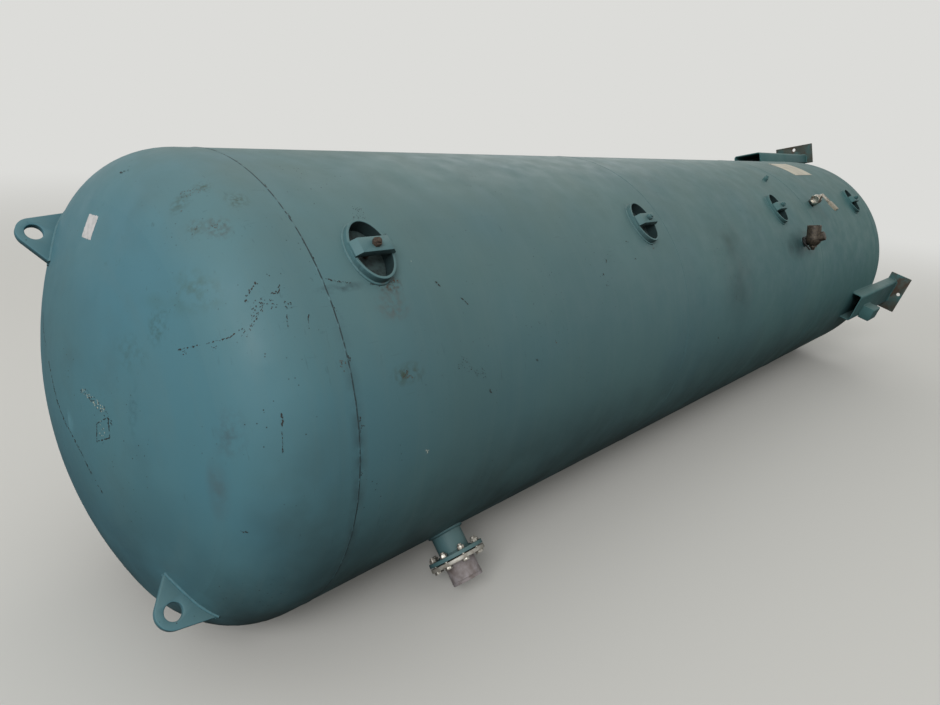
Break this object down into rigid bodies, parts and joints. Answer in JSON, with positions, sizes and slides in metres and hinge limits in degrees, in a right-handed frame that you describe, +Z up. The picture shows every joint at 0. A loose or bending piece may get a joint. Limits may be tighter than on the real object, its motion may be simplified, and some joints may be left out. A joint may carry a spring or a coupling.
{
  "type": "upright compressed air receiver, laid on its side",
  "caption": "Welded steel pressure vessel with dished ends, channel legs, hand holes and a flanged outlet, lying on its side.",
  "frame": {"origin": "on the floor, at the middle of the part's box along X and Y", "axes": "+X along the vessel axis from the lug end to the leg end, +Z up from the floor"},
  "size_m": [5.9896, 1.6572, 1.6535],
  "materials": {
    "teal_paint": "satin enamel on rolled steel plate, dusty and scuffed",
    "cover_paint": "the same enamel, thin and dirty",
    "rusty_steel": "bare steel with brown rust",
    "gasket_rubber": "matt black sheet",
    "zinc_plate": "dull zinc plating",
    "cut_pipe": "grey primer with a rusty sawn end",
    "bolt_steel": "zinc plated, dirty",
    "brown_bronze": "cast bronze, brown and dirty",
    "dark_steel": "black steel",
    "plated_brass": "bright plated brass, scratched"
  },
  "bodies": {
    "root": {"near_head": "teal_paint", "far_head": "teal_paint", "shell_course_1": "teal_paint", "shell_course_2": "teal_paint", "shell_course_3": "teal_paint", "lifting_lug_1": "teal_paint", "lifting_lug_2": "teal_paint", "leg_1": "teal_paint", "leg_2": "teal_paint", "leg_3": "teal_paint", "foot_plate_1": "teal_paint", "foot_plate_2": "teal_paint", "foot_plate_3": "teal_paint", "leg_bracket": "teal_paint", "hand_hole_ring_1": "teal_paint", "hand_hole_ring_2": "teal_paint", "hand_hole_ring_3": "teal_paint", "hand_hole_ring_4": "teal_paint", "hand_hole_cover_1": "cover_paint", "hand_hole_cover_2": "cover_paint", "hand_hole_cover_3": "cover_paint", "hand_hole_cover_4": "cover_paint", "hand_hole_bridge_1": "teal_paint", "hand_hole_bridge_2": "teal_paint", "hand_hole_bridge_3": "teal_paint", "hand_hole_bridge_4": "teal_paint", "hand_hole_stud_1": "rusty_steel", "hand_hole_stud_2": "teal_paint", "hand_hole_stud_3": "teal_paint", "hand_hole_stud_4": "teal_paint", "hand_hole_gaskets": "gasket_rubber", "outlet_neck": "teal_paint", "outlet_flange": "teal_paint", "outlet_gasket": "gasket_rubber", "outlet_loose_flange": "zinc_plate", "outlet_stub": "cut_pipe", "outlet_bolts": "bolt_steel", "instrument_socket": "teal_paint", "drain_socket": "teal_paint", "side_valve_nipple": "dark_steel", "side_valve_body": "brown_bronze", "side_valve_bonnet": "brown_bronze", "side_valve_lever": "dark_steel", "gauge_valve_nipple": "dark_steel", "gauge_valve_body": "plated_brass", "gauge_valve_lever": "plated_brass"}
  },
  "joints": []
}
